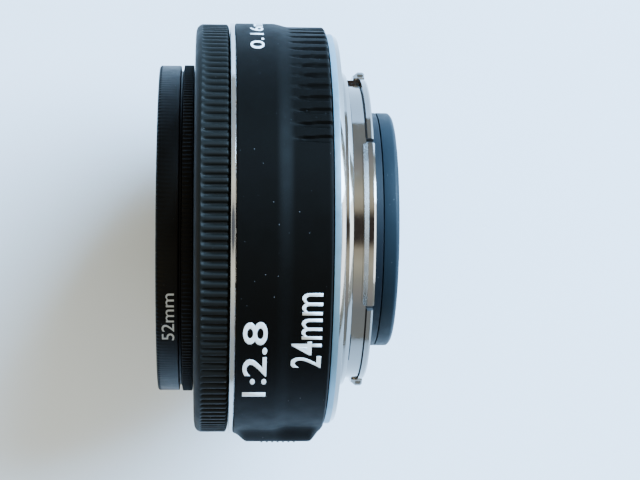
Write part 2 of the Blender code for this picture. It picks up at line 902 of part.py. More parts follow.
# Focus mode switch
KNOB = (-12.5, -5.5)
bm = bmesh.new()
knob_profile = [(KNOB[0], 33.95), (KNOB[0], 35.0)]
TEETH = 7
for i in range(TEETH):
    y = KNOB[0] + 0.35 + 6.3 * i / TEETH
    knob_profile += [(y + 0.1, 35.05), (y + 0.3, 35.6), (y + 0.6, 35.6), (y + 0.8, 35.05)]
knob_profile += [(KNOB[1], 35.0), (KNOB[1], 33.95)]
skin(bm, [[(x, y, z) for y, x in knob_profile] for z in (-2.6, 2.6)])
switch_knob = add("switch_knob", bm, satin_black)

# Screw-in filter
filter_frame = turned(
    "filter_frame",
    [
        (26.75, Y_FILTER),
        (R_FILTER, Y_FILTER + 0.25),
        (R_FILTER, -25.35),
        (26.6, -25.25),
        (26.6, -24.95),
        (27.1, -24.8),
        (27.1, -23.3),
        (26.95, -23.2),
        (25.65, -23.2),
        (25.65, -21.9),
        (24.1, -21.9),
        (24.1, -23.9),
        (25.1, -23.9),
        (25.1, -26.2),
        (25.7, -26.4),
        (25.7, Y_FILTER),
    ],
    filter_black,
    N_OUT,
)
filter_glass = turned(
    "filter_glass",
    [(0.0, -25.6), (24.7, -25.6), (24.9, -25.4), (24.9, -24.3), (24.7, -24.1), (0.0, -24.1)],
    glass,
)
filter_retaining_ring = turned(
    "filter_retaining_ring",
    [(24.9, -26.2), (24.9, -25.8), (24.0, -25.8), (24.2, -26.2)],
    filter_black,
)
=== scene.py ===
"""Looks of the slim prime lens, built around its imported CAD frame.

Lengths are in millimetres until they are written into a mesh. Angles are in degrees about the
optical axis (+Y, to the rear), from +Z, the top, towards +X, the switch side.
"""

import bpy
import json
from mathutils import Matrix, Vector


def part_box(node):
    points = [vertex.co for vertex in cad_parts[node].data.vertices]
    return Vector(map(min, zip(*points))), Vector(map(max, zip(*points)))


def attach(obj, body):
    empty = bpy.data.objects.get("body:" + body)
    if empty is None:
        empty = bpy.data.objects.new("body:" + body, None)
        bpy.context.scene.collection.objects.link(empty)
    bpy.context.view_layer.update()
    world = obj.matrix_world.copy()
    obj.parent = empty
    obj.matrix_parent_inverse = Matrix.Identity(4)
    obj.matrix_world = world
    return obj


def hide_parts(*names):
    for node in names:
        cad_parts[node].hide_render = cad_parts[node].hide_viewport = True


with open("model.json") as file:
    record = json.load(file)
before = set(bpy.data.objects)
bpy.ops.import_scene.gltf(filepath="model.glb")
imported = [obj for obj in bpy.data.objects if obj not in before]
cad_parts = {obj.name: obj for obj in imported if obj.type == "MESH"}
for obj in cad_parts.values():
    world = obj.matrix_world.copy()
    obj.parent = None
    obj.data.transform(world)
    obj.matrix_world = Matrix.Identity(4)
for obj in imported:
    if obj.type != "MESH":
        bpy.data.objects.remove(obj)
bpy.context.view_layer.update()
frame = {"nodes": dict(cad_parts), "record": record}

import json
import math

import bmesh
import bpy
from mathutils import Matrix, Vector

MM = 0.001
FLOOR_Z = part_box("outer_barrel")[0].z - 0.00015

# Places round the optical axis
A_SWITCH = 90.0
A_INDEX = 250.0
A_LOCK = 278.0
SCREW_ANGLES = (45.0, 135.0, 225.0, 315.0)
R_SCREW = 29.3
COVER_SCREW_ANGLES = (55.0, 305.0)
R_COVER_SCREW = 15.9


def polar(r, angle, y):
    """Point in metres at radius r and an angle about the optical axis."""
    a = math.radians(angle)
    return Vector((r * math.sin(a), y, r * math.cos(a))) * MM


def clamped(x):
    """The value, held between 0 and 1."""
    return min(1.0, max(0.0, x))


def smooth(x):
    """Smooth step from 0 to 1."""
    x = clamped(x)
    return x * x * (3 - 2 * x)


def signed(angle):
    """The same angle between -180 and 180 degrees."""
    return (angle + 180) % 360 - 180


# Materials ------------------------------------------------------------------------------------

DUST_COLOUR = (0.42, 0.45, 0.48, 1.0)
DUST_CELLS = 2.2
DUST_FROM = 0.78
DUST_TO = 0.84
COATING_IOR = 1.38


def node_material(name, colour, roughness, metallic=0.0, **options):
    """Principled material with mottled colour, uneven roughness, fine grain and sparse dust.

    grain is the grain's size in cells per millimetre, bump its depth in millimetres,
    mottle how much the colour varies, wear how much the roughness varies, dust how much
    dust shows, and the rest are plain socket values.
    """
    mat = bpy.data.materials.new(name)
    mat.use_nodes = True
    tree = mat.node_tree
    nodes = tree.nodes
    link = tree.links.new
    shader = nodes["Principled BSDF"]
    coords = nodes.new("ShaderNodeTexCoord")
    scale = nodes.new("ShaderNodeMapping")
    scale.inputs["Scale"].default_value = (1000.0, 1000.0, 1000.0)
    link(coords.outputs["Object"], scale.inputs["Vector"])

    def noise(cells, detail=3.0, roughness_value=0.55):
        tex = nodes.new("ShaderNodeTexNoise")
        tex.inputs["Scale"].default_value = cells
        tex.inputs["Detail"].default_value = detail
        tex.inputs["Roughness"].default_value = roughness_value
        link(scale.outputs["Vector"], tex.inputs["Vector"])
        return tex.outputs["Fac"]

    def remap(value, low, high, out_low, out_high):
        ramp = nodes.new("ShaderNodeMapRange")
        ramp.inputs["From Min"].default_value = low
        ramp.inputs["From Max"].default_value = high
        ramp.inputs["To Min"].default_value = out_low
        ramp.inputs["To Max"].default_value = out_high
        link(value, ramp.inputs["Value"])
        return ramp.outputs["Result"]

    mottle = options.get("mottle", 0.15)
    tint = nodes.new("ShaderNodeMix")
    tint.data_type = "RGBA"
    tint.inputs["A"].default_value = (*[c * (1 - mottle) for c in colour], 1.0)
    tint.inputs["B"].default_value = (*[min(1.0, c * (1 + mottle)) for c in colour], 1.0)
    link(noise(options.get("patch", 0.12), 4.0), tint.inputs["Factor"])
    colour_out = tint.outputs["Result"]
    dust = options.get("dust", 0.0)
    if dust:
        specks = remap(noise(DUST_CELLS, 1.0), DUST_FROM, DUST_TO, 0.0, dust)
        dusty = nodes.new("ShaderNodeMix")
        dusty.data_type = "RGBA"
        dusty.inputs["B"].default_value = DUST_COLOUR
        link(specks, dusty.inputs["Factor"])
        link(colour_out, dusty.inputs["A"])
        colour_out = dusty.outputs["Result"]
    link(colour_out, shader.inputs["Base Color"])
    wear = options.get("wear", 0.08)
    rough_noise = noise(options.get("wear_cells", 0.35), 5.0, 0.65)
    low = max(0.02, roughness - wear)
    link(remap(rough_noise, 0.3, 0.7, low, min(1.0, roughness + wear)), shader.inputs["Roughness"])
    bump = nodes.new("ShaderNodeBump")
    bump.inputs["Strength"].default_value = 1.0
    bump.inputs["Distance"].default_value = options.get("bump", 0.01) * MM
    link(noise(options.get("grain", 5.0), 2.0), bump.inputs["Height"])
    link(bump.outputs["Normal"], shader.inputs["Normal"])
    shader.inputs["Metallic"].default_value = metallic
    for socket, value in options.get("sockets", {}).items():
        shader.inputs[socket].default_value = value
    return mat


def glass_material(name, tint, ior, film, sheen):
    """Coated optical glass with faint haze, a thin coating and the coating's colour."""
    mat = node_material(name, tint, 0.02, mottle=0.01, wear=0.012, bump=0.0, wear_cells=0.12)
    shader = mat.node_tree.nodes["Principled BSDF"]
    shader.inputs["Transmission Weight"].default_value = 1.0
    shader.inputs["IOR"].default_value = ior
    shader.inputs["Thin Film Thickness"].default_value = film
    shader.inputs["Thin Film IOR"].default_value = COATING_IOR
    shader.inputs["Specular Tint"].default_value = (*sheen, 1.0)
    return mat


SATIN = node_material(
    "satin_barrel",
    (0.0014, 0.0013, 0.0011),
    0.5,
    grain=7.0,
    bump=0.005,
    wear=0.05,
    dust=0.2,
    mottle=0.15,
    sockets={"Specular IOR Level": 0.034},
)
RIBBED = node_material(
    "ribbed_ring",
    (0.0032, 0.0036, 0.0032),
    0.55,
    grain=6.0,
    bump=0.006,
    wear=0.07,
    dust=0.2,
    mottle=0.2,
    sockets={"Specular IOR Level": 0.085},
)
ANODISED = node_material(
    "filter_anodised",
    (0.001, 0.001, 0.0008),
    0.42,
    0.05,
    grain=9.0,
    bump=0.003,
    dust=0.12,
    sockets={"Specular IOR Level": 0.07},
)
PALE = node_material(
    "pale_accent",
    (0.44, 0.46, 0.46),
    0.1,
    0.97,
    grain=5.0,
    bump=0.003,
    mottle=0.06,
    wear=0.05,
    patch=0.4,
)
CHROME = node_material(
    "mount_polished",
    (0.21, 0.21, 0.205),
    0.1,
    1.0,
    grain=2.2,
    bump=0.0012,
    mottle=0.06,
    wear=0.05,
    wear_cells=0.8,
)
FLANGE = node_material(
    "mount_satin",
    (0.155, 0.29, 0.38),
    0.4,
    0.7,
    grain=6.0,
    bump=0.006,
    mottle=0.14,
    wear=0.1,
    patch=0.7,
)
FACED = node_material(
    "mount_faced",
    (0.36, 0.37, 0.38),
    0.27,
    1.0,
    grain=5.0,
    bump=0.004,
    mottle=0.12,
    wear=0.1,
    patch=0.5,
)
STEEL = node_material("screw_steel", (0.62, 0.62, 0.63), 0.28, 1.0, grain=10.0, bump=0.004)
SLATE = node_material(
    "baffle_slate",
    (0.0045, 0.0105, 0.0155),
    0.5,
    grain=6.0,
    bump=0.006,
    wear=0.08,
    dust=0.2,
    mottle=0.15,
    sockets={"Specular IOR Level": 0.1},
)
COVER = node_material(
    "cover_slate",
    (0.0018, 0.005, 0.0085),
    0.5,
    grain=6.0,
    bump=0.006,
    wear=0.08,
    dust=0.2,
    mottle=0.15,
    sockets={"Specular IOR Level": 0.14},
)
INNER = node_material("inner_matt", (0.011, 0.011, 0.012), 0.7, grain=8.0, bump=0.006)
RESIN = node_material("frame_resin", (0.05, 0.05, 0.055), 0.6, grain=6.0, bump=0.01)
ALLOY = node_material("inner_alloy", (0.55, 0.56, 0.58), 0.38, 1.0, grain=9.0, bump=0.004)
BRASS = node_material("turned_brass", (0.72, 0.53, 0.24), 0.3, 1.0, grain=9.0, bump=0.004)
GOLD = node_material("contact_gold", (0.92, 0.68, 0.28), 0.2, 1.0, grain=6.0, bump=0.002, mottle=0.08)
NYLON = node_material("gear_nylon", (0.8, 0.79, 0.74), 0.5, grain=6.0, bump=0.006)
BOARD = node_material("board_green", (0.02, 0.14, 0.07), 0.45, grain=4.0, bump=0.006, mottle=0.3)
CHIP = node_material("chip_resin", (0.015, 0.015, 0.016), 0.5, grain=10.0, bump=0.006)
FILM = node_material("blade_film", (0.015, 0.015, 0.016), 0.55, 0.3, grain=10.0, bump=0.003)
MARK = node_material("white_mark", (0.82, 0.84, 0.85), 0.45, grain=8.0, bump=0.003, mottle=0.04)
PRINT = node_material("white_print", (0.72, 0.8, 0.86), 0.5, grain=9.0, bump=0.003, mottle=0.06)
GREY_PRINT = node_material("grey_print", (0.33, 0.36, 0.38), 0.5, grain=9.0, bump=0.003, mottle=0.1)
GLASS = glass_material("lens_glass", (0.95, 0.98, 1.0), 1.52, 480.0, (1.0, 1.0, 1.0))
FRONT_GLASS = glass_material("filter_glass_coated", (0.97, 0.99, 0.98), 1.11, 0.0, (0.5, 1.0, 0.75))

SLOT_MATERIALS = {
    "satin_black": SATIN,
    "ring_black": RIBBED,
    "filter_black": ANODISED,
    "pale_accent": PALE,
    "mount_chrome": CHROME,
    "screw_steel": STEEL,
    "baffle_slate": SLATE,
    "inner_black": INNER,
    "frame_resin": RESIN,
    "inner_aluminium": ALLOY,
    "brass": BRASS,
    "contact_gold": GOLD,
    "nylon": NYLON,
    "board": BOARD,
    "chip": CHIP,
    "glass": GLASS,
    "white_mark": MARK,
    "blade_film": FILM,
}
NODE_SLOT = {part["node"]: part["material_slot"] for part in frame["record"]["subparts"]}
NODE_BODY = {}
for body_name, members in frame["record"]["behaviour"]["bodies"].items():
    for member in members:
        NODE_BODY[member] = body_name
for node_name, node_object in frame["nodes"].items():
    node_object.data.materials.clear()
    node_object.data.materials.append(SLOT_MATERIALS[NODE_SLOT[node_name]])


# Mesh building --------------------------------------------------------------------------------


def link_mesh(name, verts, faces, mats, sharp=32.0, weld=False):
    """Adds a smooth-shaded mesh object whose edges over the sharp angle stay crisp."""
    mesh = bpy.data.meshes.new(name)
    mesh.from_pydata(verts, [], faces)
    bm = bmesh.new()
    bm.from_mesh(mesh)
    if weld:
        bmesh.ops.remove_doubles(bm, verts=bm.verts, dist=1e-7)
    bmesh.ops.recalc_face_normals(bm, faces=bm.faces)
    bm.to_mesh(mesh)
    bm.free()
    obj = bpy.data.objects.new(name, mesh)
    bpy.context.scene.collection.objects.link(obj)
    for mat in mats:
        mesh.materials.append(mat)
    mesh.shade_smooth()
    mesh.set_sharp_from_angle(angle=math.radians(sharp))
    return obj


def stand_for(obj, node):
    """The piece takes a CAD node's place and body."""
    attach(obj, NODE_BODY[node])
    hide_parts(node)
    return obj


def swept(name, angles, section, mats, sharp=32.0, weld=False):
    """Ring whose closed section, a list of (radius, y), may change from angle to angle."""
    loops = [[polar(r, a, y) for r, y in section(a)] for a in angles]
    size = len(loops[0])
    verts = [p for loop in loops for p in loop]
    faces = []
    for i in range(len(loops)):
        j = (i + 1) % len(loops)
        for k in range(size):
            n = (k + 1) % size
            faces.append((i * size + k, i * size + n, j * size + n, j * size + k))
    return link_mesh(name, verts, faces, mats, sharp, weld)


def rounded(profile, radius=0.12, steps=3):
    """Closed profile with every corner replaced by a small arc; a third value sets its own radius."""
    result = []
    count = len(profile)
    for i, corner in enumerate(profile):
        here = Vector(corner[:2])
        before = Vector(profile[i - 1][:2]) - here
        after = Vector(profile[(i + 1) % count][:2]) - here
        own = corner[2] if len(corner) > 2 else radius
        if own <= 0 or here.x <= 0:
            result.append((here.x, here.y))
            continue
        turn = before.angle(after)
        reach = own / math.tan(turn / 2) if turn > 1e-3 else own
        reach = min(reach, 0.45 * before.length, 0.45 * after.length)
        start = here + before.normalized() * reach
        end = here + after.normalized() * reach
        for s in range(steps + 1):
            t = s / steps
            point = start * (1 - t) ** 2 + here * 2 * t * (1 - t) + end * t**2
            result.append((point.x, point.y))
    return result


def turned(name, profile, mat, columns=192, radius=0.12):
    """Ring or disc turned from a profile of (radius, y) with rounded corners."""
    section = rounded(profile, radius)
    angles = [360 * i / columns for i in range(columns)]
    weld = any(r <= 0 for r, y in section)
    return swept(name, angles, lambda a: section, [mat], weld=weld)


def marks(start, stop, step, edges=(), gap=0.02):
    """Rising values with a close pair at each edge, so that a wall can stand there."""
    count = max(1, round((stop - start) / step))
    values = [start + (stop - start) * i / count for i in range(count + 1)]
    for edge in edges:
        values = [v for v in values if abs(v - edge) > 2 * gap]
        values += [edge - gap, edge + gap]
    return sorted(values)


def baked_mesh(obj):
    """New mesh of an object as its modifiers make it."""
    bpy.context.view_layer.update()
    graph = bpy.context.evaluated_depsgraph_get()
    return bpy.data.meshes.new_from_object(obj.evaluated_get(graph))


def keep_modifier(obj, mod, sharp):
    """Keeps what a modifier makes as the object's own mesh."""
    baked = baked_mesh(obj)
    obj.modifiers.remove(mod)
    obj.data = baked
    baked.shade_smooth()
    baked.set_sharp_from_angle(angle=math.radians(sharp))


def cut(obj, tool):
    """Takes the tool's shape out of an object and removes the tool."""
    mod = obj.modifiers.new("shape", "BOOLEAN")
    mod.operation = "DIFFERENCE"
    mod.solver = "EXACT"
    mod.object = tool
    keep_modifier(obj, mod, 32)
    bpy.data.objects.remove(tool, do_unlink=True)


def stack(name, loops, mat, sharp=32.0):
    """Solid skinned over a stack of equal loops of points in metres."""
    size = len(loops[0])
    verts = [p for loop in loops for p in loop]
    faces = []
    for i in range(len(loops) - 1):
        for k in range(size):
            n = (k + 1) % size
            faces.append((i * size + k, i * size + n, (i + 1) * size + n, (i + 1) * size + k))
    faces.append(tuple(range(size)))
    last = (len(loops) - 1) * size
    faces.append(tuple(last + k for k in reversed(range(size))))
    return link_mesh(name, verts, faces, [mat], sharp)


def disc_loops(profile, centre=(0.0, 0.0), columns=40):
    """Loops of points for a profile of (radius, y) round an axis along Y through centre (x, z)."""
    loops = []
    for r, y in profile:
        loop = []
        for i in range(columns):
            a = math.tau * i / columns
            loop.append(Vector((centre[0] + r * math.sin(a), y, centre[1] + r * math.cos(a))) * MM)
        loops.append(loop)
    return loops


def centre_at(r, angle):
    """Centre (x, z) in millimetres of a hole at radius r and an angle."""
    p = polar(r, angle, 0) / MM
    return (p.x, p.z)


def bar(name, angle, r0, r1, half, y0, y1, mat):
    """Box standing on a radius of the optical axis."""
    turn = Matrix.Rotation(math.radians(angle), 3, "Y")
    corners = ((-half, r0), (half, r0), (half, r1), (-half, r1))
    loops = [[(turn @ Vector((x, y, z))) * MM for x, z in corners] for y in (y0, y1)]
    return stack(name, loops, mat)


def arc_block(name, r0, r1, a0, a1, y0, y1, mat):
    """Solid between two radii, two angles and two depths."""
    count = max(2, round((a1 - a0) / 2))
    angles = [a0 + (a1 - a0) * i / count for i in range(count + 1)]
    loops = []
    for y in (y0, y1):
        loops.append([polar(r1, a, y) for a in angles] + [polar(r0, a, y) for a in reversed(angles)])
    return stack(name, loops, mat)


def bevelled(obj, width, segments=3):
    """Rounds an object's edges with a bevel and keeps the result."""
    mod = obj.modifiers.new("edges", "BEVEL")
    mod.width = width * MM
    mod.segments = segments
    mod.limit_method = "ANGLE"
    mod.angle_limit = math.radians(35)
    keep_modifier(obj, mod, 50)
    return obj


# Filter ---------------------------------------------------------------------------------------

KNURLS = 236
KNURL_DEPTH = 0.16
GRIP_BAND = (-24.86, -23.24)
FRONT_EDGE = -28.36
filter_profile = [
    (26.75, -28.85, 0.1),
    (27.0, -28.62, 0.15),
    (27.0, -28.42, 0.0),
    (27.0, -28.3, 0.0),
    (27.0, -25.35, 0.15),
    (26.1, -25.25, 0.05),
    (26.1, -24.98, 0.05),
    (27.1, -24.8, 0.12),
    (27.1, -23.3, 0.12),
    (26.9, -23.2, 0.05),
    (25.65, -23.2, 0.05),
]
thread = []
for i in range(2):
    thread += [(25.65, -23.0 + 0.5 * i, 0.04), (25.35, -22.75 + 0.5 * i, 0.04)]
inside = [
    (25.5, -21.95, 0.1),
    (24.2, -21.95, 0.1),
    (24.2, -23.9, 0.05),
    (25.1, -23.9, 0.0),
    (25.1, -26.2, 0.05),
]
front_thread = []
for i in range(4):
    front_thread += [(25.75, -26.45 - 0.55 * i, 0.04), (25.98, -26.72 - 0.55 * i, 0.04)]
filter_section = rounded(filter_profile + thread + inside + front_thread + [(25.9, -28.8, 0.08)], 0.1)


def filter_loop(a):
    """Frame's section, knurled on the grip band and finely milled round the front edge."""
    phase = (a * KNURLS / 360) % 1.0
    groove = KNURL_DEPTH * (1 - abs(2 * phase - 1) ** 1.5)
    loop = []
    for r, y in filter_section:
        depth = 0.0
        if r > 26.75:
            depth = smooth((y - GRIP_BAND[0]) / 0.08) * smooth((GRIP_BAND[1] - y) / 0.08)
        if r > 26.4:
            depth = max(depth, 0.7 * smooth((FRONT_EDGE - y) / 0.06))
        loop.append((r - groove * depth, y))
    return loop


knurl_angles = [360 * i / (KNURLS * 4) for i in range(KNURLS * 4)]
filter_frame = swept("filter_frame_detailed", knurl_angles, filter_loop, [ANODISED], 40)
stand_for(filter_frame, "filter_frame")

filter_glass = turned(
    "filter_glass_disc",
    [
        (0.0, -25.6),
        (24.75, -25.6, 0.1),
        (24.9, -25.45, 0.05),
        (24.9, -24.25, 0.05),
        (24.75, -24.1, 0.1),
        (0.0, -24.1),
    ],
    FRONT_GLASS,
)
stand_for(filter_glass, "filter_glass")

filter_ring = turned(
    "filter_retainer",
    [(24.9, -26.2, 0.05), (24.9, -25.8, 0.05), (24.0, -25.8, 0.05), (24.25, -26.2, 0.1)],
    ANODISED,
)
for side in (60, 240):
    cut(filter_ring, bar("notch", side, 23.5, 24.5, 0.7, -26.6, -25.95, ANODISED))
stand_for(filter_ring, "filter_retaining_ring")

# Focus ring -----------------------------------------------------------------------------------

RIBS = 146
RIB_DEPTH = 0.5
R_RIB_FLOOR = 33.0
ring_outer = [
    (31.4, -22.99),
    (32.2, -22.97),
    (32.8, -22.9),
    (33.25, -22.76),
    (33.55, -22.55),
    (33.74, -22.3),
    (33.84, -22.1),
    (33.88, -21.98),
    (33.9, -21.9),
    (33.9, -21.8),
    (33.9, -21.6),
    (33.9, -21.3),
    (33.9, -20.0),
    (33.9, -18.6),
    (33.9, -18.0),
    (33.87, -17.88),
    (33.76, -17.78),
    (33.6, -17.68),
    (33.42, -17.6),
    (33.2, -17.53),
    (33.0, -17.5),
]
ring_inner = rounded([(31.5, -17.5), (31.5, -22.4), (28.7, -22.4, 0.1), (28.7, -23.0, 0.15)], 0.05)


def ring_loop(a):
    """Ring's section, with grooves between rounded ribs."""
    phase = (a * RIBS / 360) % 1.0
    distance = abs(2 * phase - 1)
    groove = RIB_DEPTH * smooth((0.62 - distance) / 0.45)
    loop = []
    for r, y in ring_outer:
        ribbed = smooth((y + 22.0) / 0.75) if y < -17.52 else 0.0
        loop.append((min(r, max(r - groove * ribbed, R_RIB_FLOOR)), y))
    return loop + ring_inner


rib_angles = [360 * i / (RIBS * 8) for i in range(RIBS * 8)]
focus_ring = swept("focus_ring_ribbed", rib_angles, ring_loop, [RIBBED], 50)
stand_for(focus_ring, "focus_ring")

accent = turned(
    "accent_band",
    [(34.12, -17.35, 0.06), (34.12, -16.7, 0.06), (32.6, -16.7), (32.6, -17.35)],
    PALE,
    256,
)
stand_for(accent, "accent_ring")

# Outer barrel ---------------------------------------------------------------------------------

R_BARREL = 34.1
STEP_DOWN = 0.5
GRIP_PITCH = 4.24
GRIP_FROM = -105.0
GRIP_TO = -21.78
GRIP_DEPTH = 0.45
FLAT_X = 35.1
RECESS_X = 33.75
RECESS_SPAN = 4.75
RECESS_Y = (-14.3, -5.2)


def barrel_base(y):
    """Radius of the plain barrel: front edge, S-step and rear edge."""
    r = R_BARREL - STEP_DOWN * smooth((y + 10.5) / 2.8)
    r -= 0.16 * smooth((-16.38 - y) / 0.17)
    r -= 0.3 * smooth((y + 2.25) / 0.3)
    return r


def grip_cut(a, y):
    """Depth of the moulded grip grooves; they taper out to the front and run out at the rear."""
    turn = signed(a)
    if turn < GRIP_FROM or turn > GRIP_TO:
        return 0.0
    phase = abs(((turn - GRIP_TO) / GRIP_PITCH) % 1.0 - 0.5) * 2
    width = 0.36 + 0.2 * smooth((y + 8.0) / 5)
    return GRIP_DEPTH * smooth((width - phase) / 0.34) * smooth((y + 8.5) / 2.6)


def housing_rise(a, y, base):
    """Switch housing: a flat pad that stands out of the barrel on soft shoulders."""
    off = abs(signed(a - A_SWITCH))
    if off > 19:
        return base
    pad = FLAT_X / math.cos(math.radians(min(off, 9.5)))
    around = 1 - smooth((off - 8.5) / 8.5)
    along = smooth((y + 16.5) / 2.3) * smooth((-2.0 - y) / 2.1)
    return base + max(0.0, pad - base) * around * along


barrel_rows = marks(-16.55, -1.95, 0.22, RECESS_Y)
barrel_angles = marks(-106, -20, 0.3) + marks(-19, 69, 1.0)
recess_ends = (A_SWITCH - RECESS_SPAN, A_SWITCH + RECESS_SPAN)
barrel_angles += marks(70, 110, 0.4, recess_ends, 0.03) + marks(111, 253, 1.0)
barrel_inside = [(31.3, -1.95), (31.3, -2.7), (32.4, -2.7), (32.4, -16.55)]


def barrel_loop(a):
    """Barrel's section, with the flat-bottomed recess that the switch slides in."""
    off = abs(signed(a - A_SWITCH))
    loop = []
    for y in barrel_rows:
        base = barrel_base(y)
        r = housing_rise(a, y, base - grip_cut(a, y))
        if off < RECESS_SPAN + 0.01 and RECESS_Y[0] < y < RECESS_Y[1]:
            r = RECESS_X / math.cos(math.radians(off))
        loop.append((r, y))
    return loop + barrel_inside


barrel = swept("barrel_moulded", barrel_angles, barrel_loop, [SATIN], 38)
cut(barrel, bar("mark_pocket", A_INDEX, 33.1, 35, 0.92, -5.08, -3.22, SATIN))
stand_for(barrel, "outer_barrel")

mark_plate = bar("index_mark_plate", A_INDEX, 33.2, 33.62, 0.8, -4.95, -3.35, MARK)
index_mark = bevelled(mark_plate, 0.08)
stand_for(index_mark, "index_mark")

KNOB_RIBS = 7
KNOB_PITCH = 0.9
KNOB_HALF = 2.6
KNOB_TOP = (35.0, 35.58)
knob_points = [(-12.5, 33.95), (-12.5, 34.95)]
for i in range(KNOB_RIBS):
    y = -12.1 + KNOB_PITCH * i
    knob_points += [(y, KNOB_TOP[0]), (y + 0.22, KNOB_TOP[1])]
    knob_points += [(y + 0.5, KNOB_TOP[1]), (y + 0.72, KNOB_TOP[0])]
knob_points += [(-5.5, 34.95), (-5.5, 33.95)]
knob_loops = [[Vector((x, y, z)) * MM for y, x in knob_points] for z in (-KNOB_HALF, KNOB_HALF)]
knob = stack("switch_knob_ribbed", knob_loops, SATIN)
bevelled(knob, 0.06, 2)
stand_for(knob, "switch_knob")

# Mount flange ---------------------------------------------------------------------------------

TABS = ((-31.0, 27.2), (86.0, 146.0), (-146.0, -85.0))
POCKET = (-84.9, -35.2)
SCRIBED = (42.0, 58.0)
NECK_ROWS = (1.75, 1.78, 1.9, 1.93, 3.17, 3.2, 3.26, 3.32, 3.88, 3.91, 3.97, 4.05, 4.08, 4.11)
NECK_ROWS += (4.7, 4.78, 5.0, 5.07)
LEAD_IN = 3.2
R_TAB = 26.25
R_RIM = 25.2
R_NECK = 24.9
R_SCRIBED = 24.65
R_RELIEF = 24.5
R_POCKET = 24.1
Y_LINE = (1.76, 1.92)
Y_TAB_FRONT = 3.18
Y_RELIEF = (3.9, 4.09)


def within(a, spans):
    """Whether an angle lies in one of the spans."""
    return any(low <= signed(a) <= high for low, high in spans)


def tab_radius(a, y):
    """Bayonet tab: flat chamfers to the front and rear, a soft lead-in at the ends beside the top."""
    chamfer = 0.53 * clamped((3.97 - y) / 0.65) + 0.2 * clamped((y - 4.78) / 0.29)
    turn = signed(a)
    inward = min(abs(turn - TABS[1][0]), abs(turn - TABS[2][1]))
    return R_RIM + (R_TAB - chamfer - R_RIM) * smooth((inward + 0.6) / LEAD_IN)


def neck_radius(a, y):
    """Neck with three bayonet tabs; between them run a rim, its relief groove and one milled pocket."""
    if within(a, TABS):
        return tab_radius(a, y) if y > Y_TAB_FRONT else R_NECK
    if y > Y_RELIEF[1]:
        return R_RIM - 0.25 * smooth((y - 4.8) / 0.27)
    pocket = within(a, [POCKET]) and y > Y_LINE[0]
    if y > Y_RELIEF[0]:
        return R_POCKET - 0.1 if pocket else R_RELIEF
    if Y_LINE[0] < y < Y_LINE[1] and (pocket or within(a, [SCRIBED])):
        return R_POCKET - 0.1 if pocket else R_SCRIBED
    return R_POCKET if pocket else R_NECK


flange_inner = rounded([(23.0, 5.07, 0.1), (23.0, -1.8, 0.1), (32.4, -1.8, 0.05)], 0.1)
plate_rows = rounded(
    [(32.5, -1.7, 0.05), (32.5, -0.75, 0.08), (31.98, 0.0, 0.06), (26.42, 0.0, 0.04)], 0.1
)
step_rows = rounded(
    [(26.42, 0.05, 0.0), (26.4, 1.0, 0.12), (25.9, 1.68, 0.2), (24.95, 1.72, 0.02)], 0.1, 5
)


def flange_loop(a):
    """Flange's section: plate, step, neck and bore."""
    return plate_rows + step_rows + [(neck_radius(a, y), y) for y in NECK_ROWS] + flange_inner


walls = [edge for span in (*TABS, POCKET, SCRIBED) for edge in span]
flange_angles = marks(-180, 178.75, 1.25, walls, 0.03)
for i in range(1, 7):
    flange_angles += [TABS[1][0] + LEAD_IN * i / 6, TABS[2][1] - LEAD_IN * i / 6]
flange_angles.sort()
flange_mats = [CHROME, FLANGE, INNER, FACED]
flange = swept("mount_flange_turned", flange_angles, flange_loop, flange_mats, 30)
for face in flange.data.polygons:
    corners = [flange.data.vertices[v].co for v in face.vertices]
    middle = sum(corners, Vector()) / len(corners) / MM
    radius = math.hypot(middle.x, middle.z)
    if radius > 32.4 and middle.y < -0.72:
        face.material_index = flange_mats.index(FLANGE)
    elif 26.45 < radius < 32.0 and abs(middle.y) < 0.05:
        face.material_index = flange_mats.index(FACED)
    # Faces in the relief groove and in the scribed and pocket lines get the black inner material as
    # painted shade in these narrow grooves of the polished neck
    elif 23.9 < radius < 24.8 and (3.89 < middle.y < 4.09 or 1.76 < middle.y < 1.92):
        face.material_index = flange_mats.index(INNER)
SINK = ((0.95, -2.5), (0.95, -0.85), (1.62, -0.1), (1.72, 0.02), (1.72, 0.5))
for a in SCREW_ANGLES:
    cut(flange, stack("sink", disc_loops(SINK, centre_at(R_SCREW, a)), CHROME))
cut(flange, bar("lock_notch", A_LOCK, 27.6, 31.0, 1.1, -1.3, 0.5, CHROME))
for edge in (TABS[0][0] - 1.8, TABS[0][1] + 1.65):
    cut(flange, bar("stop_notch", edge, 24.3, 25.9, 0.72, 4.0, 5.5, INNER))
stand_for(flange, "mount_flange")

SCREW_PROFILE = (
    (0.7, -3.9),
    (0.75, -3.8),
    (0.75, -0.95),
    (1.46, -0.16),
    (1.5, -0.1),
    (1.46, -0.05),
    (0.9, -0.04),
)
for index, a in enumerate(SCREW_ANGLES, start=1):
    screw = stack(f"flange_screw_{index}", disc_loops(SCREW_PROFILE), STEEL)
    for turn in (0, 90):
        cut(screw, bar("recess", turn, -0.85, 0.85, 0.15, -0.6, 0.3, STEEL))
    screw.location = polar(R_SCREW, a, 0)
    screw.rotation_euler = (0, math.radians(a + 17 * index), 0)
    stand_for(screw, f"mount_screw_{index}")

# Rear cover -----------------------------------------------------------------------------------

